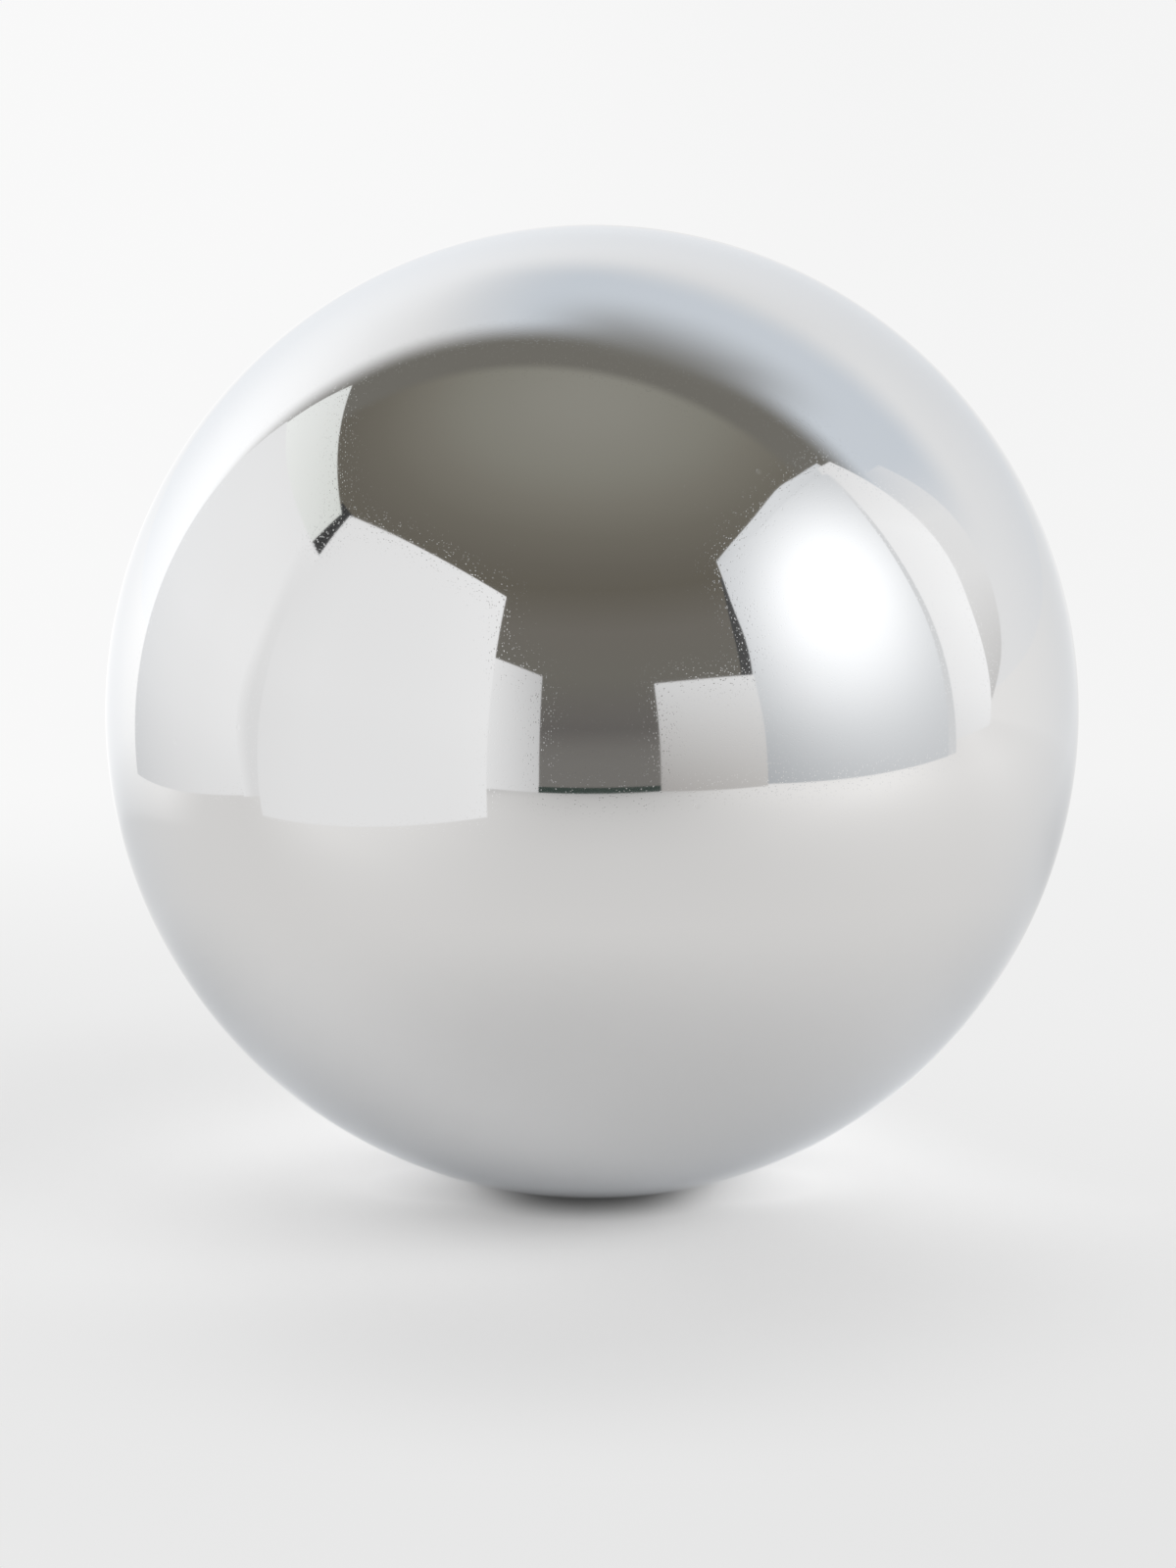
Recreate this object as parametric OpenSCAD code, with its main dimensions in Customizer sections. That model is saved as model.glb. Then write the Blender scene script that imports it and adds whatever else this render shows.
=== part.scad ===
// Polished steel ball
// One solid, ground and lapped sphere. Lengths are in millimetres.
// The origin is the ball's centre and +Z points up; the ball is the same seen from every side.

/* [Ball] */

// Nominal diameter over the finished, lapped surface, in mm
ball_diameter = 60; // [1:0.001:160]

/* [Display] */

// Which solid to draw: "all" or the name of one

// Segments round the ball on screen; the exported surface is exact
facets = 180; // [24:4:360]

/* [Hidden] */

// Every solid this source can draw

// Radius of the lapped surface
ball_radius = ball_diameter / 2;

// Colour of bare chromium steel, polished
steel_colour = [0.74, 0.74, 0.745];

// The ball: a true sphere with no hole, flat or seam
module ball() {
    color(steel_colour)
        sphere(r = ball_radius, $fn = facets);
}

ball();
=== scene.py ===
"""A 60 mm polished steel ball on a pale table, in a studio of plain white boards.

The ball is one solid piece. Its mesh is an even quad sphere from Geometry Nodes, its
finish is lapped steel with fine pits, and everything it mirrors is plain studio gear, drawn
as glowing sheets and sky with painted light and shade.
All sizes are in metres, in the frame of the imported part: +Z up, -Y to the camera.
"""

import logging
import math
from dataclasses import dataclass, field
from enum import Enum

import bpy
import numpy as np
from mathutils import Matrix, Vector


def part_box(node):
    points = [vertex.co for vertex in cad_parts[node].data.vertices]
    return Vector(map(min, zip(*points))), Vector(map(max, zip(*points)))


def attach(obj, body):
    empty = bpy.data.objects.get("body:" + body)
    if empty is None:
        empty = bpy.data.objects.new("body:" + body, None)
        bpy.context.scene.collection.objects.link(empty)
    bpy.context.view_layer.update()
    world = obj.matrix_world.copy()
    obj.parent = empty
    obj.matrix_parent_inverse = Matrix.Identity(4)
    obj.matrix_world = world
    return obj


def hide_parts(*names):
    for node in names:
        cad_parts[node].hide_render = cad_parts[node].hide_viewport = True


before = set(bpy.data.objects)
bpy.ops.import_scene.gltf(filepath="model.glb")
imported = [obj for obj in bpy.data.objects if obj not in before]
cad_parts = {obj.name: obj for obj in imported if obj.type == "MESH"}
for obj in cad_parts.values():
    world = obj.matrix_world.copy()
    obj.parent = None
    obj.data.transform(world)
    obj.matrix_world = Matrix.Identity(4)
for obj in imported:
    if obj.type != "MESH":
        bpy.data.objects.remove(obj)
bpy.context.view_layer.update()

LOG = logging.getLogger("steel_ball")

Tone = tuple[float, float, float]
Point = tuple[float, float, float]
Span = tuple[float, float]
Stops = tuple[tuple[float, float], ...]
Rows = tuple[tuple[float, tuple[Tone, ...]], ...]
Socket = bpy.types.NodeSocket


class Slot(Enum):
    """The record's material slots."""

    STEEL = "steel"


class SeenBy(Enum):
    """Which rays meet a stage mesh."""

    ALL = "all"
    CAMERA = "camera"
    MIRROR = "mirror"

    def set_on(self, thing: bpy.types.Object) -> None:
        """Limits the object to the rays that this option names.

        Args:
            thing: the stage object.
        """
        everything = self is SeenBy.ALL
        thing.visible_camera = everything or self is SeenBy.CAMERA
        thing.visible_glossy = everything or self is SeenBy.MIRROR
        thing.visible_diffuse = everything
        thing.visible_transmission = everything
        thing.visible_shadow = everything


# ------------------------------------------------------------------- shared small tools


def heading(azimuth: float, elevation: float) -> Vector:
    """The unit vector at an azimuth and elevation.

    Args:
        azimuth: degrees round from the camera's side (-Y) towards +X.
        elevation: degrees above the horizon.

    Returns:
        The direction as a unit vector.
    """
    a, e = math.radians(azimuth), math.radians(elevation)
    return Vector((math.sin(a) * math.cos(e), -math.cos(a) * math.cos(e), math.sin(e)))


def grey(level: float, warm: float = 0.0) -> Tone:
    """A grey, a little warmer or cooler."""
    return (level + warm, level, level - warm)


def grey_rows(*levels: tuple[float, ...], warm: float = 0.0) -> Rows:
    """Rows of greys for a board.

    Args:
        levels: for each row its share of the height, and then its levels from left to right.
        warm: how much warmer than neutral they are.

    Returns:
        The rows, with a tone for each level.
    """
    return tuple((row[0], tuple(grey(level, warm) for level in row[1:])) for row in levels)


def mesh_points(mesh: bpy.types.Mesh) -> np.ndarray:
    """Reads a mesh's vertices.

    Args:
        mesh: the mesh.

    Returns:
        A row for each vertex.
    """
    points = np.zeros(len(mesh.vertices) * 3)
    mesh.vertices.foreach_get("co", points)
    return points.reshape(-1, 3)


def put_in_scene(name: str, mesh: bpy.types.Mesh) -> bpy.types.Object:
    """Makes an object of a mesh, at the origin.

    Args:
        name: the object's name.
        mesh: its mesh.

    Returns:
        The object.
    """
    thing = bpy.data.objects.new(name, mesh)
    bpy.context.scene.collection.objects.link(thing)
    return thing


@dataclass
class NodeSheet:
    """A node tree with short calls to fill it."""

    tree: bpy.types.NodeTree

    def add(self, kind: str, **settings: object) -> bpy.types.Node:
        """Adds a node.

        Args:
            kind: the node's type name.
            settings: properties to set on it.

        Returns:
            The new node.
        """
        node = self.tree.nodes.new(kind)
        for name, value in settings.items():
            setattr(node, name, value)
        return node

    def feed(self, source: Socket | float | Tone | Vector, target: Socket) -> None:
        """Links a socket to an input, or sets the input to a plain value.

        Args:
            source: an output socket, a number or a vector.
            target: the input that takes it.
        """
        if isinstance(source, bpy.types.NodeSocket):
            self.tree.links.new(source, target)
        else:
            target.default_value = source

    def group(
        self, tree: bpy.types.NodeTree, values: dict[str, Socket | float]
    ) -> bpy.types.Node:
        """Places a group.

        Args:
            tree: the group's tree.
            values: what each of its inputs takes.

        Returns:
            The group node.
        """
        node = self.add("ShaderNodeGroup", node_tree=tree)
        for title, value in values.items():
            self.feed(value, node.inputs[title])
        return node

    def math(self, operation: str, *terms: Socket | float, clamp: bool = False) -> Socket:
        """Adds a Math node.

        Args:
            operation: the node's operation.
            terms: its inputs in order.
            clamp: keeps the result from 0 to 1.

        Returns:
            The result's socket.
        """
        node = self.add("ShaderNodeMath", operation=operation, use_clamp=clamp)
        for term, target in zip(terms, node.inputs):
            self.feed(term, target)
        return node.outputs[0]

    def product(self, *terms: Socket | float) -> Socket:
        """Multiplies two or more terms.

        Args:
            terms: sockets and numbers.

        Returns:
            The product's socket.
        """
        result = terms[0]
        for term in terms[1:]:
            result = self.math("MULTIPLY", result, term)
        return result

    def vector(self, operation: str, *terms: Socket | Tone | Vector) -> bpy.types.Node:
        """Adds a Vector Math node.

        Args:
            operation: the node's operation.
            terms: its inputs in order.

        Returns:
            The node, because some operations give a value and some a vector.
        """
        node = self.add("ShaderNodeVectorMath", operation=operation)
        for term, target in zip(terms, node.inputs):
            self.feed(term, target)
        return node

    def scaled(self, vector: Socket | Tone, factor: Socket | float) -> Socket:
        """Scales a vector or a colour.

        Args:
            vector: what is scaled.
            factor: by how much.

        Returns:
            The result's socket.
        """
        node = self.vector("SCALE", vector)
        self.feed(factor, node.inputs["Scale"])
        return node.outputs[0]

    def parts(self, vector: Socket) -> list[Socket]:
        """Splits a vector.

        Args:
            vector: the vector's socket.

        Returns:
            The sockets of its X, Y and Z.
        """
        node = self.add("ShaderNodeSeparateXYZ")
        self.feed(vector, node.inputs[0])
        return list(node.outputs)

    def ease(self, value: Socket, low: float, high: float) -> Socket:
        """A smooth step of a value.

        Args:
            value: the socket to step.
            low: where the step gives 0.
            high: where it gives 1.

        Returns:
            The step's socket.
        """
        node = self.add("ShaderNodeMapRange", interpolation_type="SMOOTHSTEP")
        self.feed(value, node.inputs["Value"])
        node.inputs["From Min"].default_value = low
        node.inputs["From Max"].default_value = high
        return node.outputs["Result"]

    def ease_angle(self, angle: Socket, low: float, high: float) -> Socket:
        """A smooth step of an angle, with its ends in degrees."""
        return self.ease(angle, math.radians(low), math.radians(high))

    def mix(self, share: Socket, first: Socket | Tone, second: Socket | Tone) -> Socket:
        """Mixes two colours.

        Args:
            share: how much of the second colour shows.
            first: the colour at 0.
            second: the colour at 1.

        Returns:
            The mixed colour's socket.
        """
        node = self.add("ShaderNodeMix", data_type="RGBA")
        self.feed(share, node.inputs[0])
        for colour, target in ((first, node.inputs[6]), (second, node.inputs[7])):
            self.feed((*colour, 1.0) if isinstance(colour, tuple) else colour, target)
        return node.outputs[2]

    def ramp(self, value: Socket, stops: tuple[tuple[float, Tone], ...]) -> Socket:
        """Adds a Color Ramp.

        Args:
            value: the place along the ramp.
            stops: each stop's place and colour.

        Returns:
            The colour's socket.
        """
        node = self.add("ShaderNodeValToRGB")
        elements = node.color_ramp.elements
        while len(elements) < len(stops):
            elements.new(0.5)
        for element, (place, colour) in zip(elements, stops):
            element.position = place
            element.color = (*colour, 1.0)
        self.feed(value, node.inputs[0])
        return node.outputs[0]


def fresh_material(name: str) -> tuple[bpy.types.Material, NodeSheet]:
    """A material with an empty node tree.

    Args:
        name: the material's name.

    Returns:
        The material and the sheet that fills its tree.
    """
    material = bpy.data.materials.new(name)
    material.use_nodes = True
    material.node_tree.nodes.clear()
    return material, NodeSheet(material.node_tree)


def fresh_group(name: str, kind: str, takes: dict[str, str], gives: dict[str, str]) -> NodeSheet:
    """An empty node group with named inputs and outputs.

    Args:
        name: the group's name.
        kind: the tree's type name.
        takes: each input's title and type.
        gives: each output's title and type.

    Returns:
        The sheet that fills the group.
    """
    tree = bpy.data.node_groups.new(name, kind)
    for side, sockets in (("INPUT", takes), ("OUTPUT", gives)):
        for title, sort in sockets.items():
            tree.interface.new_socket(title, in_out=side, socket_type=f"NodeSocket{sort}")
    return NodeSheet(tree)


# ------------------------------------------------------------------ the steel's finish


@dataclass(frozen=True)
class PitGroup:
    """The shader group of small round pits in the polish."""

    name: str = "Lapping pits"
    smallest: float = 0.5
    variety: float = 0.7
    patch_detail: float = 2.0
    rim: float = 0.6

    def build(self) -> bpy.types.NodeTree:
        """Builds the group once.

        Returns:
            The group's tree, with a height of 0 in the flat and -1 at a pit's floor,
            and a mask of the pits.
        """
        found = bpy.data.node_groups.get(self.name)
        if found:
            return found
        numbers = ("Spacing", "Radius", "Share", "Patch Size", "Patchiness")
        takes = {"Place": "Vector"} | {title: "Float" for title in numbers}
        sheet = fresh_group(
            self.name, "ShaderNodeTree", takes, {"Height": "Float", "Mask": "Float"}
        )
        given = sheet.add("NodeGroupInput").outputs
        result = sheet.add("NodeGroupOutput").inputs
        cells = sheet.add("ShaderNodeTexVoronoi", feature="F1", voronoi_dimensions="3D")
        sheet.feed(given["Place"], cells.inputs["Vector"])
        sheet.feed(sheet.math("DIVIDE", 1.0, given["Spacing"]), cells.inputs["Scale"])
        cells.inputs["Randomness"].default_value = 1.0
        # Each cell draws whether it holds a pit, and how wide the pit is.
        draw = sheet.add("ShaderNodeSeparateColor")
        sheet.feed(cells.outputs["Color"], draw.inputs[0])
        patches = sheet.add("ShaderNodeTexNoise", noise_dimensions="3D")
        sheet.feed(given["Place"], patches.inputs["Vector"])
        sheet.feed(sheet.math("DIVIDE", 1.0, given["Patch Size"]), patches.inputs["Scale"])
        patches.inputs["Detail"].default_value = self.patch_detail
        swing = sheet.math("SUBTRACT", patches.outputs[0], 0.5)
        swing = sheet.math("MULTIPLY", swing, given["Patchiness"])
        share = sheet.math("ADD", given["Share"], swing)
        kept = sheet.math("LESS_THAN", draw.outputs[0], share)
        size = sheet.math("MULTIPLY_ADD", draw.outputs[1], self.variety, self.smallest)
        reach = sheet.math("DIVIDE", sheet.product(given["Radius"], size), given["Spacing"])
        # A pit is a round bowl about the middle of its cell.
        out = sheet.math("DIVIDE", cells.outputs["Distance"], reach)
        bowl = sheet.math("SUBTRACT", 1.0, sheet.product(out, out), clamp=True)
        bowl = sheet.product(bowl, kept)
        sheet.feed(sheet.product(bowl, -1.0), result["Height"])
        sheet.feed(sheet.ease(bowl, 0.0, self.rim), result["Mask"])
        return sheet.tree


@dataclass(frozen=True)
class Pitting:
    """One sort of pits: their spacing, usual radius, share of cells and depth.

    They stand denser and barer in patches of a size, as strongly as patchiness says.
    """

    spacing: float
    radius: float
    share: float
    depth: float
    patch: float
    patchiness: float = 0.0

    def lay(self, sheet: NodeSheet, place: Socket) -> bpy.types.Node:
        """Places the pits in a material.

        Args:
            sheet: the material's sheet.
            place: the coordinates.

        Returns:
            The group node.
        """
        values = {
            "Place": place,
            "Spacing": self.spacing,
            "Radius": self.radius,
            "Share": self.share,
            "Patch Size": self.patch,
            "Patchiness": self.patchiness,
        }
        return sheet.group(PitGroup().build(), values)

    def bump(self, sheet: NodeSheet, height: Socket) -> bpy.types.Node:
        """Adds the Bump node of these pits.

        Args:
            sheet: the material's sheet.
            height: the height from -1 to 0.

        Returns:
            The bump node.
        """
        node = sheet.add("ShaderNodeBump")
        node.inputs["Distance"].default_value = self.depth
        sheet.feed(height, node.inputs["Height"])
        return node


@dataclass(frozen=True)
class LappedSteel:
    """Bearing steel, ground and lapped to a mirror."""

    colour: Tone = (0.67, 0.67, 0.672)
    edge_tint: Tone = (0.785, 0.805, 0.83)
    mirror_roughness: float = 0.032
    hazed_roughness: float = 0.05
    pit_roughness: float = 0.12
    haze_scale: float = 70.0
    haze_detail: float = 4.0
    haze_span: Span = (0.45, 0.75)
    grain: Pitting = Pitting(0.00014, 0.000045, 0.5, 0.0000014, 0.011, 0.9)
    pits: Pitting = Pitting(0.0042, 0.0002, 0.5, 0.000005, 0.02)

    def material(self) -> bpy.types.Material:
        """Builds the steel.

        Returns:
            The material.
        """
        material, sheet = fresh_material("lapped_steel")
        place = sheet.add("ShaderNodeTexCoord").outputs["Object"]
        grain = self.grain.lay(sheet, place)
        pits = self.pits.lay(sheet, place)
        shader = sheet.add("ShaderNodeBsdfPrincipled")
        shader.inputs["Base Color"].default_value = (*self.colour, 1.0)
        shader.inputs["Metallic"].default_value = 1.0
        shader.inputs["Specular Tint"].default_value = (*self.edge_tint, 1.0)
        rough = self.roughness(sheet, place, pits.outputs["Mask"])
        sheet.feed(rough, shader.inputs["Roughness"])
        fine = self.grain.bump(sheet, grain.outputs["Height"])
        coarse = self.pits.bump(sheet, pits.outputs["Height"])
        sheet.feed(fine.outputs[0], coarse.inputs["Normal"])
        sheet.feed(coarse.outputs[0], shader.inputs["Normal"])
        sheet.feed(shader.outputs[0], sheet.add("ShaderNodeOutputMaterial").inputs[0])
        return material

    def roughness(self, sheet: NodeSheet, place: Socket, pits: Socket) -> Socket:
        """The mirror's roughness, with clouds of haze and rougher pits.

        Args:
            sheet: the material's sheet.
            place: the coordinates.
            pits: the mask of the pits.

        Returns:
            The roughness's socket.
        """
        haze = sheet.add("ShaderNodeTexNoise", noise_dimensions="3D")
        sheet.feed(place, haze.inputs["Vector"])
        haze.inputs["Scale"].default_value = self.haze_scale
        haze.inputs["Detail"].default_value = self.haze_detail
        clouds = sheet.ease(haze.outputs[0], *self.haze_span)
        more = self.hazed_roughness - self.mirror_roughness
        rough = sheet.math("MULTIPLY_ADD", clouds, more, self.mirror_roughness)
        return sheet.math("MULTIPLY_ADD", pits, self.pit_roughness, rough)


# ------------------------------------------------------------------------- the ball


@dataclass(frozen=True)
class TileLayout:
    """The ball's flat layout: a tile for each of the sides -X +X -Y +Y -Z +Z."""

    name: str = "OFBake"
    columns: int = 3
    rows: int = 2
    margin: float = 0.012
    rightward: tuple[Point, ...] = (
        (0, -1, 0), (0, 1, 0), (1, 0, 0), (-1, 0, 0), (1, 0, 0), (1, 0, 0),
    )
    upward: tuple[Point, ...] = (
        (0, 0, 1), (0, 0, 1), (0, 0, 1), (0, 0, 1), (0, -1, 0), (0, 1, 0),
    )

    def lay_on(self, mesh: bpy.types.Mesh) -> None:
        """Lays the six sides out as a grid of tiles, each seen from outside.

        Args:
            mesh: the ball's mesh, all of quads.
        """
        corners = np.zeros(len(mesh.loops), int)
        mesh.loops.foreach_get("vertex_index", corners)
        spots = mesh_points(mesh)[corners.reshape(-1, 4)]
        middles = spots.mean(1)
        axis = np.abs(middles).argmax(1)
        plus = middles[np.arange(len(middles)), axis] > 0
        side = axis * 2 + plus
        depth = np.abs(np.take_along_axis(spots, axis[:, None, None], 2))[..., 0]
        room = 1 - 2 * self.margin
        places = []
        for vectors, cell, cells in (
            (self.rightward, side % self.columns, self.columns),
            (self.upward, side // self.columns, self.rows),
        ):
            along = np.einsum("qcx,qx->qc", spots, np.array(vectors, float)[side])
            share = np.arctan2(along, depth) / (math.pi / 2) + 0.5
            places.append((cell[:, None] + self.margin + share * room) / cells)
        for spare in list(mesh.uv_layers):
            mesh.uv_layers.remove(spare)
        layout = np.stack(places, axis=-1).astype(np.float32)
        mesh.uv_layers.new(name=self.name).data.foreach_set("uv", layout.ravel())


@dataclass
class SteelBall:
    """The ball: an even quad sphere with exact normals and a layout of six tiles."""

    radius: float
    name: str = "steel_ball"
    node: str = "ball"
    body: str = "root"
    facets: int = 120
    finish: LappedSteel = field(default_factory=LappedSteel)
    layout: TileLayout = field(default_factory=TileLayout)

    def tree(self) -> bpy.types.NodeTree:
        """Builds the Geometry Nodes tree of the quad sphere.

        Returns:
            The tree, with inputs for the radius, the facets along an edge and the steel.
        """
        takes = {"Radius": "Float", "Facets": "Int", "Steel": "Material"}
        sheet = fresh_group("Quad sphere", "GeometryNodeTree", takes, {"Ball": "Geometry"})
        given = sheet.add("NodeGroupInput").outputs
        cube = sheet.add("GeometryNodeMeshCube")
        cube.inputs["Size"].default_value = (2.0, 2.0, 2.0)
        corners = sheet.math("ADD", given["Facets"], 1.0)
        for axis in "XYZ":
            sheet.feed(corners, cube.inputs[f"Vertices {axis}"])
        place = sheet.add("GeometryNodeInputPosition").outputs[0]
        eighth = sheet.vector("MULTIPLY", place, (math.pi / 4,) * 3).outputs[0]
        even = sheet.vector("TANGENT", eighth).outputs[0]
        outward = sheet.vector("NORMALIZE", even).outputs[0]
        blown = sheet.add("GeometryNodeSetPosition")
        sheet.feed(cube.outputs["Mesh"], blown.inputs["Geometry"])
        sheet.feed(sheet.scaled(outward, given["Radius"]), blown.inputs["Position"])
        smooth = sheet.add("GeometryNodeSetShadeSmooth")
        real = sheet.add("GeometryNodeRealizeInstances")
        dressed = sheet.add("GeometryNodeSetMaterial")
        sheet.feed(given["Steel"], dressed.inputs["Material"])
        chain = (blown, smooth, real, dressed, sheet.add("NodeGroupOutput"))
        for before, after in zip(chain, chain[1:]):
            sheet.feed(before.outputs[0], after.inputs[0])
        return sheet.tree

    def mesh(self, steel: bpy.types.Material) -> bpy.types.Mesh:
        """Turns the tree's result into a plain mesh.

        Args:
            steel: the material that the tree sets.

        Returns:
            The ball's mesh.
        """
        holder = put_in_scene("ball_maker", bpy.data.meshes.new("ball_maker"))
        maker = holder.modifiers.new("Quad sphere", "NODES")
        maker.node_group = self.tree()
        values = {"Radius": self.radius, "Facets": self.facets, "Steel": steel}
        for item in maker.node_group.interface.items_tree:
            if item.in_out == "INPUT":
                maker[item.identifier] = values[item.name]
        graph = bpy.context.evaluated_depsgraph_get()
        mesh = bpy.data.meshes.new_from_object(holder.evaluated_get(graph), depsgraph=graph)
        holder.modifiers.remove(maker)
        bpy.data.objects.remove(holder)
        mesh.name = self.name
        return mesh

    @staticmethod
    def exact_normals(mesh: bpy.types.Mesh) -> None:
        """Gives each corner the true normal of the sphere, so mirrored lines run clean.

        Args:
            mesh: the ball's mesh.
        """
        points = mesh_points(mesh)
        points /= np.linalg.norm(points, axis=1, keepdims=True)
        mesh.normals_split_custom_set_from_vertices(points.tolist())

    def build(self) -> bpy.types.Object:
        """Builds the ball and puts it on the frame.

        Returns:
            The ball's object.
        """
        mesh = self.mesh(self.finish.material())
        self.exact_normals(mesh)
        self.layout.lay_on(mesh)
        ball = put_in_scene(self.name, mesh)
        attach(ball, self.body)
        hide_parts(self.node)
        LOG.info(
            "%s: %d quads, %.1f mm across", self.name, len(mesh.polygons), self.radius * 2000
        )
        return ball


# ------------------------------------------------------------------------ the boards


@dataclass(frozen=True)
class BoardGlow:
    """The one material of every mirrored board: it glows with the board's tones, which are
    painted light and shade, so boards that are no lamps glow too.
    """

    name: str = "board_glow"
    layer: str = "tone"

    def material(self) -> bpy.types.Material:
        """Builds the material once.

        Returns:
            The material.
        """
        found = bpy.data.materials.get(self.name)
        if found:
            return found
        material, sheet = fresh_material(self.name)
        material.cycles.emission_sampling = "NONE"
        tones = sheet.add("ShaderNodeAttribute", attribute_name=self.layer)
        glow = sheet.add("ShaderNodeEmission")
        sheet.feed(tones.outputs["Color"], glow.inputs["Color"])
        sheet.feed(glow.outputs[0], sheet.add("ShaderNodeOutputMaterial").inputs[0])
        return material


@dataclass
class Board:
    """A plain sheet that only the ball's mirror sees, ruled between two edges.

    Each edge is a smooth curve through its points, from the foot up. The tones are painted
    light and shade, as the board looks lit; they stand in rows, each with its share of the
    height, and run from the left edge to the right.
    """

    name: str
    left: tuple[Point, ...]
    right: tuple[Point, ...]
    tones: Rows
    steps: int = 20
    glow: BoardGlow = field(default_factory=BoardGlow)

    @staticmethod
    def curve(points: tuple[Point, ...], share: np.ndarray) -> np.ndarray:
        """A smooth curve through points.

        Args:
            points: the points in order.
            share: the places along the curve, 0 to 1.

        Returns:
            A row for each place.
        """
        spots = np.array(points)
        spots = np.vstack([2 * spots[0] - spots[1], spots, 2 * spots[-1] - spots[-2]])
        along = share * (len(points) - 1)
        k = np.minimum(along.astype(int), len(points) - 2)
        t = (along - k)[:, None]
        before, start, end, after = (spots[k + n] for n in range(4))
        return 0.5 * (
            2 * start
            + (end - before) * t
            + (2 * before - 5 * start + 4 * end - after) * t**2
            + (3 * start - before - 3 * end + after) * t**3
        )

    def tone(self, across: np.ndarray, up: np.ndarray, spots: np.ndarray) -> np.ndarray:
        """The board's tone, blended between its edges and its rows.

        Args:
            across: the place from left to right, 0 to 1.
            up: the place from bottom to top, 0 to 1.
            spots: the points themselves.

        Returns:
            A row of red, green and blue for each point.
        """
        levels = np.array([level for level, _ in self.tones])
        rows = []
        for _, row in self.tones:
            marks = np.linspace(0, 1, len(row))
            rows.append(np.column_stack([np.interp(across, marks, part) for part in zip(*row)]))
        k = np.clip(np.searchsorted(levels, up, side="right") - 1, 0, len(levels) - 2)
        share = ((up - levels[k]) / (levels[k + 1] - levels[k]))[:, None]
        stack, spot = np.array(rows), np.arange(len(spots))
        return stack[k, spot] * (1 - share) + stack[k + 1, spot] * share

    def build(self) -> bpy.types.Object:
        """Builds the board.

        Returns:
            The board's object.
        """
        count = self.steps + 1
        share = np.linspace(0, 1, count)
        across, up = (grid.ravel() for grid in np.meshgrid(share, share))
        left, right = self.curve(self.left, up), self.curve(self.right, up)
        spots = left * (1 - across[:, None]) + right * across[:, None]
        quads = [
            (k, k + 1, k + count + 1, k + count)
            for row in range(self.steps)
            for k in range(row * count, row * count + self.steps)
        ]
        mesh = bpy.data.meshes.new(self.name)
        mesh.from_pydata(spots.tolist(), [], quads)
        layer = mesh.color_attributes.new(self.glow.layer, "FLOAT_COLOR", "POINT")
        tones = np.column_stack([self.tone(across, up, spots), np.ones(len(spots))])
        layer.data.foreach_set("color", tones.astype(np.float32).ravel())
        mesh.materials.append(self.glow.material())
        board = put_in_scene(self.name, mesh)
        SeenBy.MIRROR.set_on(board)
        return board


@dataclass
class Softbox(Board):
    """The large soft light at the right, brightest round the lamp behind its cloth."""

    lamp: Point = (0.2410, -0.116, 0.146)
    spread: float = 0.126
    peak: float = 0.97

    def tone(self, across: np.ndarray, up: np.ndarray, spots: np.ndarray) -> np.ndarray:
        """The cloth's tone with the lamp's glow on it.

        Args:
            across: the place from left to right, 0 to 1.
            up: the place from bottom to top, 0 to 1.
            spots: the points themselves.

        Returns:
            A row of red, green and blue for each point.
        """
        away = np.linalg.norm(spots - np.array(self.lamp), axis=1) / self.spread
        return super().tone(across, up, spots) + self.peak * np.exp(-(away**2))[:, None]


# ------------------------------------------------------------- the room and the light


@dataclass(frozen=True)
class SkyPatch:
    """A round patch of sky with a soft edge, its place and edges in degrees."""

    azimuth: float
    elevation: float
    outer: float = 0.0
    inner: float = 0.0
    level: float = 1.0

    def angle(self, sheet: NodeSheet, way: Socket) -> Socket:
        """The angle between a ray and the patch's middle.

        Args:
            sheet: the sheet to add to.
            way: the ray's direction.

        Returns:
            The angle in radians.
        """
        middle = heading(self.azimuth, self.elevation)
        return sheet.math("ARCCOSINE", sheet.vector("DOT_PRODUCT", way, middle).outputs["Value"])

    def mask(self, sheet: NodeSheet, way: Socket) -> Socket:
        """The patch's mask: 0 past its outer edge and 1 within its inner edge."""
        return sheet.ease_angle(self.angle(sheet, way), self.outer, self.inner)

    def add_to(self, sheet: NodeSheet, way: Socket, light: Socket | float) -> Socket:
        """The light with the patch's level added to it."""
        return sheet.math("MULTIPLY_ADD", self.mask(sheet, way), self.level, light)


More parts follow.
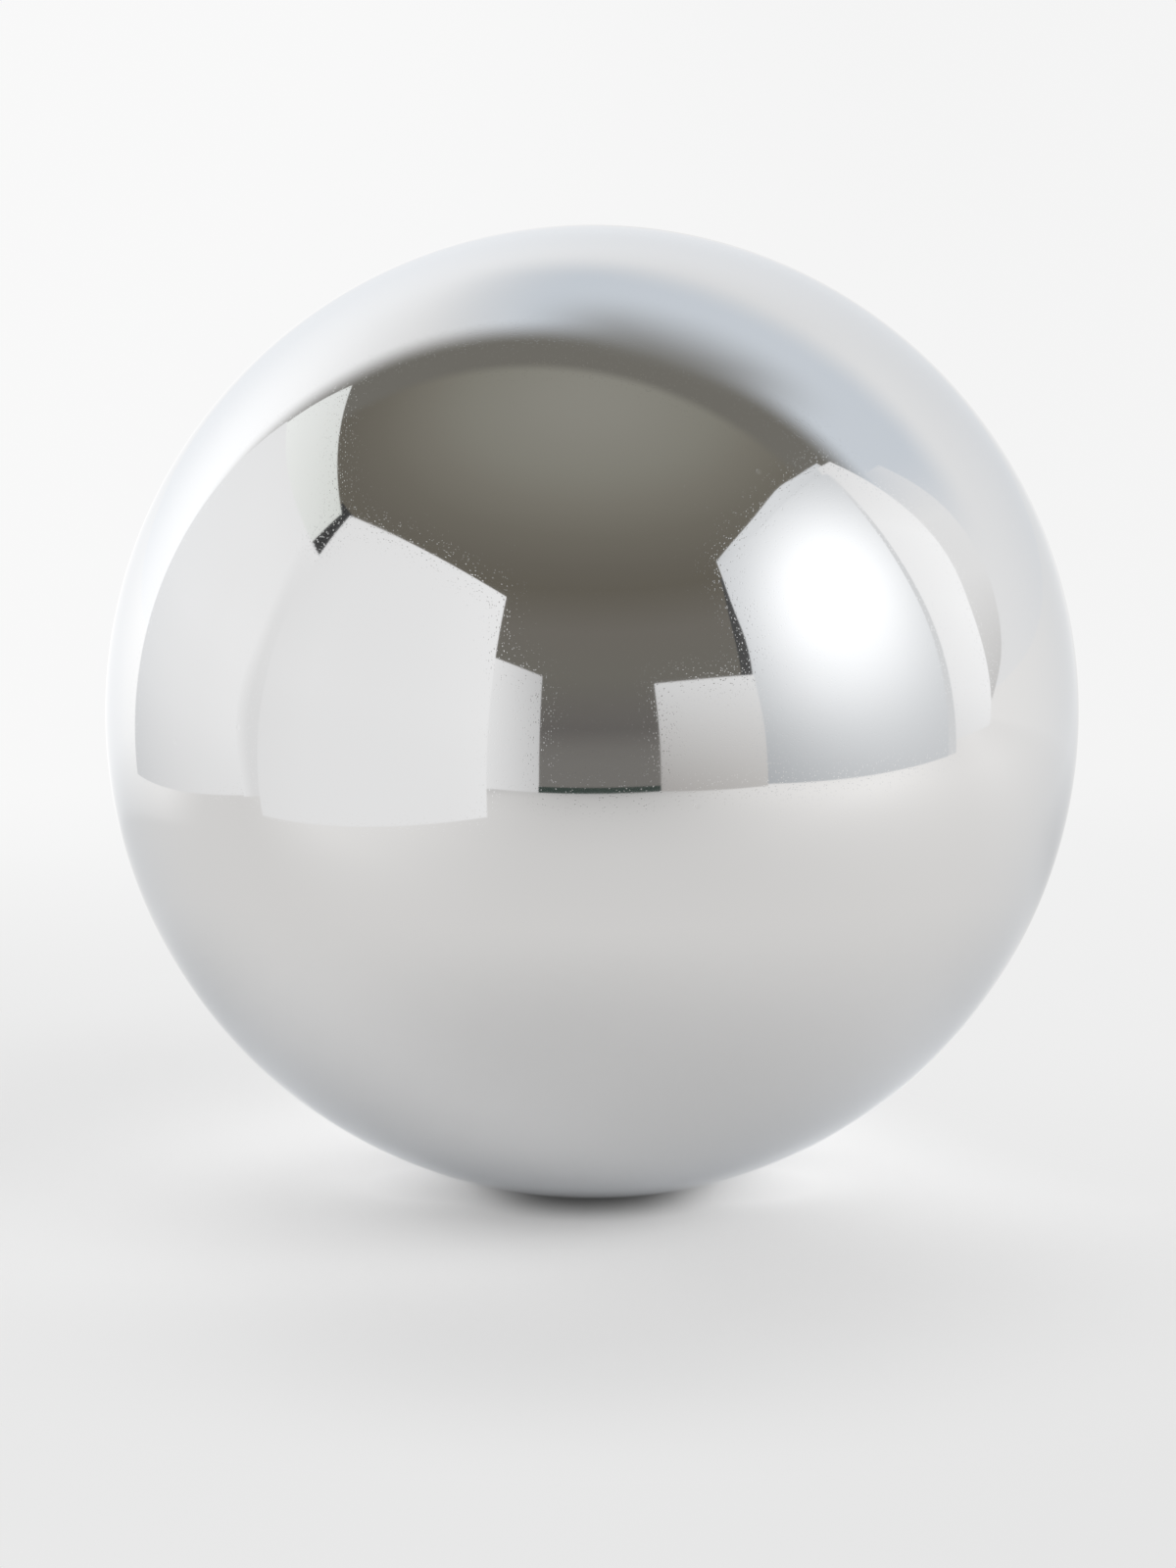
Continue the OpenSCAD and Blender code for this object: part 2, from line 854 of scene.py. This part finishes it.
@dataclass(frozen=True)
class BackGlow:
    """The shader group of the painted light on the white paper beyond its plain tone.

    It has painted light behind on the left, painted shade low down straight behind, and a
    little painted light above that.
    """

    name: str = "Back glow"
    bright: float = 0.48
    bright_turn: Span = (-10.0, 46.0)
    bright_depth: Span = (0.02, 0.35)
    bright_rise: Span = (0.92, 0.25)
    # painted shade low down straight behind, then painted light above it
    patches: tuple[SkyPatch, ...] = (
        SkyPatch(180, -14, 27, 0, -0.20),
        SkyPatch(180, 20, 30, 5, 0.09),
    )

    def build(self) -> bpy.types.NodeTree:
        """Builds the group once.

        Returns:
            The group's tree, which takes a direction and gives a level.
        """
        found = bpy.data.node_groups.get(self.name)
        if found:
            return found
        takes, gives = {"Way": "Vector"}, {"Level": "Float"}
        sheet = fresh_group(self.name, "ShaderNodeTree", takes, gives)
        way = sheet.add("NodeGroupInput").outputs["Way"]
        x, y, rise = sheet.parts(way)
        turn = sheet.math("ARCTAN2", sheet.product(x, -1.0), y)
        height = sheet.product(
            sheet.ease(y, *self.bright_depth), sheet.ease(rise, *self.bright_rise)
        )
        bright = sheet.product(sheet.ease_angle(turn, *self.bright_turn), height)
        patches = 0.0
        for patch in self.patches:
            patches = patch.add_to(sheet, way, patches)
        level = sheet.math("MULTIPLY_ADD", bright, self.bright, patches)
        sheet.feed(level, sheet.add("NodeGroupOutput").inputs["Level"])
        return sheet.tree

    def level(self, sheet: NodeSheet, way: Socket) -> Socket:
        """Places the group and gives its level for a direction."""
        return sheet.group(self.build(), {"Way": way}).outputs["Level"]


@dataclass
class Surround:
    """What lies beyond the boards: white paper behind, a dim plain room in front."""

    backdrop: Tone = (0.925, 0.925, 0.925)
    belt: float = 3.6
    belt_foot: Span = (0.052, 0.122)
    belt_top: Span = (0.292, 0.225)
    sides: tuple[SkyPatch, ...] = (
        SkyPatch(62, 22, 30, 10, 6.0),
        SkyPatch(180, 18, 50, 20, 3.22),
        SkyPatch(-95, 22, 40, 15, 2.23),
    )
    # the mirrored paper glows brighter than white, painted light, and is darker towards its top
    paper: Tone = (1.10, 1.10, 1.10)
    paper_middle: SkyPatch = SkyPatch(162.7, 2)
    paper_edge: Span = (73.0, 64.0)
    paper_edge_at_window: Span = (76.0, 50.0)
    paper_top: Span = (0.45, 0.85)
    paper_top_drop: float = -0.10
    window: SkyPatch = SkyPatch(150, 60, 27, 9)
    pane: Tone = (0.83, 0.885, 0.95)
    pane_patch: SkyPatch = SkyPatch(140, 56, 46, 26)
    pane_start: Span = (34.0, 48.0)
    # a dark band between the paper's edge and the room: painted shade
    rim: Tone = (0.225, 0.215, 0.19)
    rim_span: Span = (82.5, 79.0)
    room: tuple[tuple[float, Tone], ...] = (
        (0.00, (0.24, 0.23, 0.215)),
        (0.06, (0.225, 0.215, 0.20)),
        (0.14, (0.17, 0.16, 0.15)),
        (0.34, (0.21, 0.20, 0.175)),
        (0.50, (0.215, 0.20, 0.175)),
        (0.64, (0.175, 0.16, 0.13)),
        (0.71, (0.19, 0.175, 0.145)),
        (0.79, (0.22, 0.205, 0.17)),
        (0.87, (0.27, 0.255, 0.215)),
        (0.93, (0.315, 0.305, 0.26)),
        (0.97, (0.34, 0.33, 0.285)),
        (1.00, (0.365, 0.355, 0.31)),
    )

    def build(self) -> None:
        """Builds the world."""
        world = bpy.data.worlds.new("studio")
        bpy.context.scene.world = world
        world.use_nodes = True
        world.node_tree.nodes.clear()
        sheet = NodeSheet(world.node_tree)
        way = sheet.add("ShaderNodeTexCoord").outputs["Generated"]
        path = sheet.add("ShaderNodeLightPath").outputs
        shine = sheet.math("MAXIMUM", path["Is Glossy Ray"], path["Is Transmission Ray"])
        tone = sheet.mix(shine, self.light(sheet, way), self.mirrored(sheet, way))
        tone = sheet.mix(path["Is Camera Ray"], tone, self.backdrop)
        sky = sheet.add("ShaderNodeBackground")
        sheet.feed(tone, sky.inputs["Color"])
        sheet.feed(sky.outputs[0], sheet.add("ShaderNodeOutputWorld").inputs[0])

    def mirrored(self, sheet: NodeSheet, way: Socket) -> Socket:
        """What the steel mirrors, a painted reflection: white paper behind, glowing with painted
        light and with painted shade at its rim, and a dim room above and in front.

        Args:
            sheet: the world's sheet.
            way: the ray's direction.

        Returns:
            The tone's socket.
        """
        rise = sheet.parts(way)[2]
        out = self.paper_middle.angle(sheet, way)
        room = sheet.mix(
            sheet.ease_angle(out, *self.rim_span), sheet.ramp(rise, self.room), self.rim
        )
        top = sheet.ease(rise, *self.paper_top)
        level = sheet.math("MULTIPLY_ADD", top, self.paper_top_drop, 1.0)
        glow = BackGlow().level(sheet, way)
        level = sheet.math("MULTIPLY_ADD", glow, 1 / self.paper[0], level)
        pane = sheet.product(
            self.pane_patch.mask(sheet, way), sheet.ease_angle(out, *self.pane_start)
        )
        paper = sheet.mix(pane, sheet.scaled(self.paper, level), self.pane)
        share = sheet.add("ShaderNodeMix", data_type="FLOAT")
        sheet.feed(self.window.mask(sheet, way), share.inputs[0])
        sheet.feed(sheet.ease_angle(out, *self.paper_edge), share.inputs[2])
        sheet.feed(sheet.ease_angle(out, *self.paper_edge_at_window), share.inputs[3])
        return sheet.mix(share.outputs[0], room, paper)

    def light(self, sheet: NodeSheet, way: Socket) -> Socket:
        """What lights matt things: a low belt all round, and more from three sides.

        Args:
            sheet: the world's sheet.
            way: the ray's direction.

        Returns:
            The light's socket.
        """
        rise = sheet.parts(way)[2]
        foot, top = sheet.ease(rise, *self.belt_foot), sheet.ease(rise, *self.belt_top)
        light = sheet.product(foot, top, self.belt)
        for side in self.sides:
            light = side.add_to(sheet, way, light)
        return light


# ------------------------------------------------------------------------- the table


@dataclass(frozen=True)
class TableSpot:
    """A spot of the table, as sockets: its place, X and Y, and how far from the ball's foot."""

    place: Socket
    x: Socket
    y: Socket
    away: Socket

    @classmethod
    def read(cls, sheet: NodeSheet) -> "TableSpot":
        """Reads the spot from the Object coordinates.

        Args:
            sheet: the table's sheet.

        Returns:
            The spot.
        """
        place = sheet.add("ShaderNodeTexCoord").outputs["Object"]
        flat = sheet.vector("MULTIPLY", place, (1.0, 1.0, 0.0)).outputs[0]
        x, y, _ = sheet.parts(place)
        return cls(place, x, y, sheet.vector("LENGTH", flat).outputs["Value"])

    def graded(self, sheet: NodeSheet, stops: Stops) -> Socket:
        """A grey that changes from the table's front to its back.

        Args:
            sheet: the material's sheet.
            stops: each stop's distance back and its level.

        Returns:
            The colour's socket.
        """
        low, high = stops[0][0], stops[-1][0]
        along = sheet.math("SUBTRACT", self.y, low)
        along = sheet.math("DIVIDE", along, high - low, clamp=True)
        ramp = tuple(((y - low) / (high - low), (level,) * 3) for y, level in stops)
        return sheet.ramp(along, ramp)


@dataclass(frozen=True)
class TablePatch:
    """A patch of the table with soft edges, and how much lighter it is.

    Each edge is a step across (X) or back (Y), from where it gives 0 to where it gives 1.
    """

    across: tuple[Span, ...]
    back: tuple[Span, ...]
    level: float = 1.0

    def mask(self, sheet: NodeSheet, spot: TableSpot) -> Socket:
        """Multiplies the patch's edges.

        Args:
            sheet: the table's sheet.
            spot: the spot.

        Returns:
            The mask's socket.
        """
        edges = [sheet.ease(spot.x, *span) for span in self.across]
        edges += [sheet.ease(spot.y, *span) for span in self.back]
        return sheet.product(*edges)


@dataclass(frozen=True)
class BallFoot:
    """The paper's level round the ball's foot: painted shadow where the ball touches, and painted
    light that lifts it beside that.
    """

    contact_shade: Span = (0.004, 0.010)
    darkest: float = 0.4
    lift: float = 0.24
    lift_aside: Span = (0.0025, 0.0065)
    lift_reach: Span = (0.020, 0.007)
    lift_front: Span = (-0.009, -0.002)
    lift_back: Span = (0.006, -0.001)
    lightest: float = 1.10

    def level(self, sheet: NodeSheet, spot: TableSpot) -> Socket:
        """Builds the level.

        Args:
            sheet: the table's sheet.
            spot: the spot.

        Returns:
            The level's socket.
        """
        # painted light beside the ball's foot
        lift = sheet.product(
            sheet.ease(sheet.math("ABSOLUTE", spot.x), *self.lift_aside),
            sheet.ease(spot.away, *self.lift_reach),
            sheet.ease(spot.y, *self.lift_front),
            sheet.ease(spot.y, *self.lift_back),
        )
        # painted shadow under the ball's foot, darkest where it touches
        contact_shade = sheet.ease(spot.away, *self.contact_shade)
        level = sheet.math("MULTIPLY_ADD", contact_shade, 1.0 - self.darkest, self.darkest)
        level = sheet.math("MULTIPLY_ADD", lift, self.lift, level)
        return sheet.math("MINIMUM", level, self.lightest)


@dataclass(frozen=True)
class MirroredTable:
    """The table's glow in the ball, with painted light and shade: lighter at both sides,
    darker behind the ball.

    Its patches are the right side, more of it towards the front, the left, and behind.
    """

    # painted light on the mirrored table, darker in front and lighter behind
    plain: Stops = (
        (-0.29, 0.61), (-0.25, 0.70), (-0.20, 0.76), (-0.16, 0.81), (-0.10, 0.87),
        (0.0, 0.93), (0.05, 1.0), (0.11, 1.12),
    )
    warmth: Tone = (1.012, 1.0, 0.985)
    # painted light at the sides and painted shade behind the ball
    patches: tuple[TablePatch, ...] = (
        TablePatch(((0.02, 0.20),), ((0.10, 0.02),), 0.15),
        TablePatch(((0.02, 0.20),), ((0.10, 0.02), (0.0, -0.10)), 0.18),
        TablePatch(((-0.01, -0.10),), ((-0.02, -0.07),), 0.16),
        TablePatch(((-0.075, 0.03), (0.09, 0.045)), ((0.03, 0.065),), -0.17),
    )
    glow_start: Span = (0.09, 0.10)
    glow_reach: float = 0.045

    def tone(self, sheet: NodeSheet, spot: TableSpot) -> Socket:
        """Builds the tone.

        Args:
            sheet: the table's sheet.
            spot: the spot.

        Returns:
            The colour's socket.
        """
        extra = self.glow(sheet, spot)
        for patch in self.patches:
            extra = sheet.math("MULTIPLY_ADD", patch.mask(sheet, spot), patch.level, extra)
        warm = sheet.vector("MULTIPLY", spot.graded(sheet, self.plain), self.warmth).outputs[0]
        return sheet.vector("ADD", warm, sheet.scaled(self.warmth, extra)).outputs[0]

    def glow(self, sheet: NodeSheet, spot: TableSpot) -> Socket:
        """The back glow's painted light and shade, which the table takes on towards the white
        paper.

        Args:
            sheet: the table's sheet.
            spot: the spot.

        Returns:
            The extra level's socket.
        """
        beyond = sheet.math("SUBTRACT", spot.away, self.glow_start[0])
        far = sheet.math("DIVIDE", beyond, sheet.math("ADD", beyond, self.glow_reach))
        share = sheet.product(far, sheet.ease(spot.away, *self.glow_start))
        way = sheet.vector("NORMALIZE", spot.place).outputs[0]
        return sheet.product(BackGlow().level(sheet, way), share)


@dataclass(frozen=True)
class OpenTable:
    """The table's glow away from the ball, as the camera sees it: painted light, darker in front
    and lighter behind.
    """

    near_left: Stops = (
        (-0.07, 0.823), (0.0, 0.80), (0.03, 0.818), (0.055, 0.855), (0.09, 0.918),
        (0.112, 0.942),
    )
    near_right: Stops = (
        (-0.066, 0.785), (-0.03, 0.80), (0.0, 0.825), (0.03, 0.858), (0.09, 0.878),
        (0.12, 0.90),
    )
    far_left: Tone = (0.942, 0.942, 0.942)
    far_right: Tone = (0.908, 0.908, 0.908)
    across: Span = (-0.06, 0.06)
    far: Span = (0.09, 0.16)
    start: Span = (0.02, 0.058)
    lit: TablePatch = TablePatch(((0.0, 0.015),), ((-0.015, 0.01),))

    def tone(self, sheet: NodeSheet, spot: TableSpot) -> Socket:
        """Builds the tone.

        Args:
            sheet: the table's sheet.
            spot: the spot.

        Returns:
            The colour's socket.
        """
        across = sheet.ease(spot.x, *self.across)
        left, right = (spot.graded(sheet, stops) for stops in (self.near_left, self.near_right))
        far = sheet.mix(across, self.far_left, self.far_right)
        return sheet.mix(sheet.ease(spot.away, *self.far), sheet.mix(across, left, right), far)

    def share(self, sheet: NodeSheet, spot: TableSpot) -> Socket:
        """How much of it shows: none at the ball's foot, and sooner all on the lit side.

        Args:
            sheet: the table's sheet.
            spot: the spot.

        Returns:
            The share's socket.
        """
        stretch = sheet.math("ADD", self.lit.mask(sheet, spot), 1.0)
        return sheet.ease(sheet.product(spot.away, stretch), *self.start)


@dataclass
class Table:
    """The pale table, whose far part fades into the white backdrop."""

    height: float
    front: float = -0.304
    reach: float = 3.2
    # the paper's colour, darker towards the front and a little darker behind the ball: painted
    # shade
    paper: Stops = (
        (-0.20, 0.66), (-0.10, 0.76), (-0.05, 0.80), (-0.02, 0.845), (0.04, 0.845),
        (0.06, 0.815), (0.10, 0.80),
    )
    mirror_start: Span = (0.018, 0.06)
    foot: BallFoot = field(default_factory=BallFoot)
    in_mirror: MirroredTable = field(default_factory=MirroredTable)
    in_open: OpenTable = field(default_factory=OpenTable)

    def material(self) -> bpy.types.Material:
        """Builds the table's paper white, with painted shade in its colour and painted light that
        it gives off.

        Returns:
            The material.
        """
        material, sheet = fresh_material("table_white")
        material.cycles.emission_sampling = "NONE"
        spot = TableSpot.read(sheet)
        matt = sheet.add("ShaderNodeBsdfDiffuse")
        # the paper's colour carries painted shade, and the painted shadow and light at the ball's
        # foot
        paper = sheet.scaled(spot.graded(sheet, self.paper), self.foot.level(sheet, spot))
        sheet.feed(paper, matt.inputs["Color"])
        path = sheet.add("ShaderNodeLightPath").outputs
        shine = sheet.math("MAXIMUM", path["Is Glossy Ray"], path["Is Transmission Ray"])
        # mirror rays see the table glow with painted light and shade
        share = sheet.product(sheet.ease(spot.away, *self.mirror_start), shine)
        tone = self.in_mirror.tone(sheet, spot)
        mirrored = self.lay_over(sheet, matt.outputs[0], tone, share)
        # the camera sees painted light on the table away from the ball
        share = sheet.product(self.in_open.share(sheet, spot), path["Is Camera Ray"])
        whole = self.lay_over(sheet, mirrored, self.in_open.tone(sheet, spot), share)
        sheet.feed(whole, sheet.add("ShaderNodeOutputMaterial").inputs[0])
        return material

    @staticmethod
    def lay_over(sheet: NodeSheet, under: Socket, tone: Socket, share: Socket) -> Socket:
        """Lays a tone over a shader.

        Args:
            sheet: the material's sheet.
            under: the shader below.
            tone: the tone on top.
            share: how much of it shows.

        Returns:
            The mixed shader's socket.
        """
        glow = sheet.add("ShaderNodeEmission")
        sheet.feed(tone, glow.inputs["Color"])
        both = sheet.add("ShaderNodeMixShader")
        for source, target in zip((share, under, glow.outputs[0]), both.inputs):
            sheet.feed(source, target)
        return both.outputs[0]

    def build(self) -> None:
        """Builds the table and the strip in front of it that only the camera sees."""
        paper = self.material()
        for name, near, far, seen in (
            ("table", self.front, self.reach, SeenBy.ALL),
            ("table_front", -self.reach, self.front, SeenBy.CAMERA),
        ):
            corners = [
                (x, y, self.height)
                for x, y in (
                    (-self.reach, near), (self.reach, near), (self.reach, far), (-self.reach, far)
                )
            ]
            mesh = bpy.data.meshes.new(name)
            mesh.from_pydata(corners, [], [(0, 1, 2, 3)])
            mesh.materials.append(paper)
            sheet = put_in_scene(name, mesh)
            seen.set_on(sheet)


# ------------------------------------------------------------------------ the studio


@dataclass
class Studio:
    """The whole stage round the ball, each board where the ball should mirror it."""

    floor: float
    edge_height: float = 0.007

    def left_boards(self) -> list[Board]:
        """The white boards at the left and the one in front.

        Returns:
            The boards, not built yet.
        """
        return [
            Board(
                "board_near_left",
                left=((-0.116, -0.034, self.floor), (-0.116, -0.034, 0.1035)),
                right=((-0.061, -0.153, self.floor), (-0.061, -0.153, 0.1165)),
                tones=grey_rows(
                    (0, 1.07, 1.10, 1.11, 1.11, 1.11, 1.14),
                    (0.5, 1.08, 1.12, 1.12, 1.13, 1.15, 1.17),
                    (1, 1.08, 1.10, 1.12, 1.13, 1.16, 1.18),
                ),
            ),
            Board(
                "board_far_left",
                left=((-0.1085, 0.070, -0.030), (-0.278, 0.209, 0.227)),
                right=((-0.158, -0.060, -0.030), (-0.3215, -0.062, 0.201)),
                tones=grey_rows(
                    (0, 0.96, 1.07, 1.12),
                    (0.03, 1.0, 1.08, 1.15),
                    (0.12, 1.18, 1.16, 1.21),
                    (0.25, 1.24, 1.18, 1.19),
                    (0.6, 1.19, 1.18, 1.16),
                    (1, 1.16, 1.15, 1.12),
                ),
            ),
            # A strip with painted shade down its middle, where the near-left board shades the
            # far-left one.
            Board(
                "board_shade_strip",
                left=(
                    (-0.142, -0.025, -0.030), (-0.169, -0.020, 0.008), (-0.208, -0.024, 0.059),
                    (-0.244, -0.022, 0.110), (-0.292, -0.010, 0.180),
                ),
                right=(
                    (-0.151, -0.048, -0.030), (-0.182, -0.052, 0.012), (-0.217, -0.060, 0.057),
                    (-0.260, -0.067, 0.116), (-0.309, -0.066, 0.186),
                ),
                tones=grey_rows(
                    (0, 1.12, 1.0, 1.0, 1.06),
                    (0.5, 1.19, 1.05, 1.05, 1.12),
                    (1, 1.16, 1.12, 1.10, 1.12),
                ),
            ),
            Board(
                "board_tall_left",
                left=((-0.505, -0.038, 0.300), (-0.317, 0.238, 0.244)),
                right=((-0.450, -0.053, 0.376), (-0.266, 0.201, 0.328)),
                tones=(
                    (0, ((1.05, 1.07, 1.04), (0.95, 0.98, 0.93))),
                    (1, ((1.25, 1.27, 1.24), (1.05, 1.07, 1.04))),
                ),
            ),
            # Darker towards its right edge: painted shade.
            Board(
                "board_front_left",
                left=((-0.150, -0.290, -0.045), (-0.150, -0.290, 0.1435)),
                right=((-0.065, -0.322, -0.045), (-0.065, -0.322, 0.1165)),
                tones=grey_rows((0, 1.16, 0.82), (1, 1.24, 0.74)),
            ),
        ]

    def softbox_boards(self) -> list[Board]:
        """The board before the softbox, its cloth, and the parts round the cloth.

        Returns:
            The boards, not built yet.
        """
        return [
            Board(
                "board_front_right",
                left=(
                    (0.0801, -0.3016, -0.0300), (0.0792, -0.3021, 0.0352),
                    (0.0765, -0.3039, 0.1004),
                ),
                right=(
                    (0.1865, -0.2337, -0.0300), (0.1850, -0.2347, 0.0317),
                    (0.1809, -0.2372, 0.0934),
                ),
                tones=(
                    (0, (grey(0.52, 0.02), grey(0.71, 0.02))),
                    (1, (grey(0.92), grey(1.06))),
                ),
            ),
            Softbox(
                "softbox",
                left=(
                    (0.1939, -0.2619, -0.0300), (0.1943, -0.2606, 0.0515),
                    (0.1960, -0.2552, 0.1330), (0.1940, -0.2614, 0.2145),
                    (0.1944, -0.2604, 0.2960),
                ),
                right=(
                    (0.2717, -0.0201, -0.0300), (0.2730, -0.0161, 0.0556),
                    (0.2729, -0.0164, 0.1413), (0.2747, -0.0111, 0.2269),
                    (0.2781, -0.0004, 0.3126),
                ),
                tones=grey_rows((0, 0.55, 0.78), (0.45, 0.72, 0.80), (1, 0.88, 0.80), warm=-0.02),
            ),
            Board(
                "softbox_crown",
                left=(
                    (0.1936, -0.2595, 0.2949), (0.2033, -0.2294, 0.3008),
                    (0.2118, -0.2031, 0.3048), (0.2271, -0.1556, 0.3125),
                    (0.2478, -0.0911, 0.3248), (0.2614, -0.0490, 0.3192),
                    (0.2779, 0.0022, 0.3136),
                ),
                right=(
                    (0.1949, -0.2553, 0.2822), (0.2058, -0.2217, 0.2788),
                    (0.2152, -0.1925, 0.2829), (0.2288, -0.1502, 0.2868),
                    (0.2469, -0.0939, 0.2937), (0.2609, -0.0505, 0.2931),
                    (0.2743, -0.0090, 0.2952),
                ),
                tones=grey_rows(
                    (0, 0.86, 0.93), (0.3, 0.98, 1.02), (0.6, 1.02, 1.04), (1, 0.95, 0.90),
                    warm=-0.02,
                ),
            ),
            Board(
                "softbox_side",
                left=(
                    (0.1895, -0.2820, -0.0300), (0.1896, -0.2818, 0.0435),
                    (0.1915, -0.2758, 0.1171), (0.1919, -0.2746, 0.1906),
                    (0.1942, -0.2674, 0.2642),
                ),
                right=(
                    (0.1968, -0.2594, -0.0300), (0.1970, -0.2588, 0.0422),
                    (0.1988, -0.2530, 0.1144), (0.1979, -0.2561, 0.1867),
                    (0.1965, -0.2603, 0.2589),
                ),
                tones=grey_rows((0, 0.09, 0.09), (1, 0.10, 0.10)),
            ),
            Board(
                "softbox_edge",
                left=(
                    (0.2724, -0.0231, -0.0300), (0.2737, -0.0190, 0.0567),
                    (0.2737, -0.0190, 0.1434), (0.2754, -0.0136, 0.2300),
                    (0.2789, -0.0029, 0.3167),
                ),
                right=(
                    (0.2774, -0.0076, -0.0300), (0.2774, -0.0074, 0.0555),
                    (0.2768, -0.0094, 0.1410), (0.2779, -0.0059, 0.2265),
                    (0.2806, 0.0024, 0.3120),
                ),
                tones=grey_rows((0, 0.92, 0.92), (0.5, 0.96, 0.96), (1, 1.02, 1.02), warm=-0.01),
            ),
        ]

    def right_boards(self) -> list[Board]:
        """The board at the far right and the rim of the paper beyond it.

        Returns:
            The boards, not built yet.
        """
        return [
            Board(
                "board_right",
                left=(
                    (0.396, -0.045, -0.045), (0.395, -0.064, 0.044), (0.362, -0.060, 0.167),
                    (0.317, -0.036, 0.245), (0.268, -0.008, 0.298),
                ),
                right=(
                    (0.388, 0.079, -0.039), (0.387, 0.093, 0.005), (0.379, 0.093, 0.080),
                    (0.354, 0.089, 0.162), (0.275, 0.020, 0.292),
                ),
                tones=grey_rows(
                    (0, 1.0, 1.15), (0.25, 1.13, 1.28), (0.5, 1.19, 1.35), (0.75, 1.20, 1.34),
                    (1, 1.02, 1.10),
                ),
            ),
            Board(
                "paper_edge",
                left=(
                    (0.511, 0.090, -0.006), (0.502, 0.100, 0.074), (0.488, 0.098, 0.163),
                    (0.440, 0.088, 0.245), (0.350, 0.062, 0.300),
                ),
                right=(
                    (0.502, 0.127, -0.011), (0.477, 0.193, 0.041), (0.450, 0.223, 0.119),
                    (0.420, 0.200, 0.200), (0.350, 0.108, 0.285),
                ),
                tones=(
                    (0, (grey(0.85, 0.01), grey(0.78, 0.01))),
                    (0.25, (grey(0.97, 0.01), grey(0.88, 0.01))),
                    (0.5, (grey(1.07, 0.005), grey(1.09, 0.005))),
                    (0.75, (grey(1.08), grey(1.12))),
                    (1, ((0.86, 0.90, 0.95), (0.98, 1.0, 1.03))),
                ),
            ),
        ]

    def dark_strips(self) -> list[Board]:
        """A dark sheet that paints a dark patch high at the left, and the table's shaded front
        edge.

        Returns:
            The boards, not built yet.
        """
        edge_tone = (0.06, 0.08, 0.07)
        near, far = (
            tuple((x, y, self.floor + rise) for rise in (0.0, self.edge_height))
            for x, y in ((-0.061, -0.300), (0.20, -0.307))
        )
        return [
            # A painted dark patch that only the mirror sees.
            Board(
                "dark_patch_left",
                left=((-0.622, -0.145, 0.340), (-0.621, -0.022, 0.367)),
                right=((-0.530, -0.160, 0.466), (-0.544, -0.035, 0.474)),
                tones=grey_rows((0, 0.06, 0.06), (1, 0.06, 0.06)),
            ),
            Board(
                "table_edge",
                left=near,
                right=far,
                tones=((0, (edge_tone, edge_tone)), (1, (edge_tone, edge_tone))),
            ),
        ]

    def build(self) -> None:
        """Builds the table, the boards and the surround."""
        Table(self.floor).build()
        boards = (
            self.left_boards() + self.softbox_boards() + self.right_boards() + self.dark_strips()
        )
        # every board glows with painted light and shade, and only the mirror sees it
        for board in boards:
            board.build()
        Surround().build()
        LOG.info("studio: table, %d boards and the surround", len(boards))


@dataclass
class ViewPoint:
    """The camera, turned so that the ball stands a little above the middle.

    The aim is the way to the ball's centre, along the camera's own axes.
    """

    distance: float = 0.3757
    elevation: float = 12.0
    lens: float = 139.5
    sensor: float = 36.0
    aim: Point = (4.2, 73.4, -6200.0)
    nearest: float = 0.01
    farthest: float = 20.0

    def build(self, centre: Vector) -> None:
        """Builds the camera and makes it the scene's.

        Args:
            centre: the ball's centre.
        """
        data = bpy.data.cameras.new("camera")
        data.lens = self.lens
        data.sensor_width = self.sensor
        data.clip_start, data.clip_end = self.nearest, self.farthest
        camera = bpy.data.objects.new("camera", data)
        bpy.context.scene.collection.objects.link(camera)
        back = heading(0.0, self.elevation)
        camera.location = centre + back * self.distance
        turn = Vector(self.aim).normalized().rotation_difference(Vector((0.0, 0.0, -1.0)))
        camera.rotation_mode = "QUATERNION"
        camera.rotation_quaternion = (-back).to_track_quat("-Z", "Y") @ turn
        bpy.context.scene.camera = camera
        LOG.info("camera: %.0f mm off, lens %.1f mm", self.distance * 1000, self.lens)


def main() -> None:
    """Builds the ball, the studio and the camera."""
    logging.basicConfig(level=logging.INFO, format="%(name)s: %(message)s")
    low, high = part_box("ball")
    SteelBall(radius=(high.z - low.z) / 2).build()
    Studio(floor=low.z).build()
    ViewPoint().build((low + high) / 2)
    bpy.context.scene.view_settings.view_transform = "Standard"


if __name__ == "__main__":
    main()
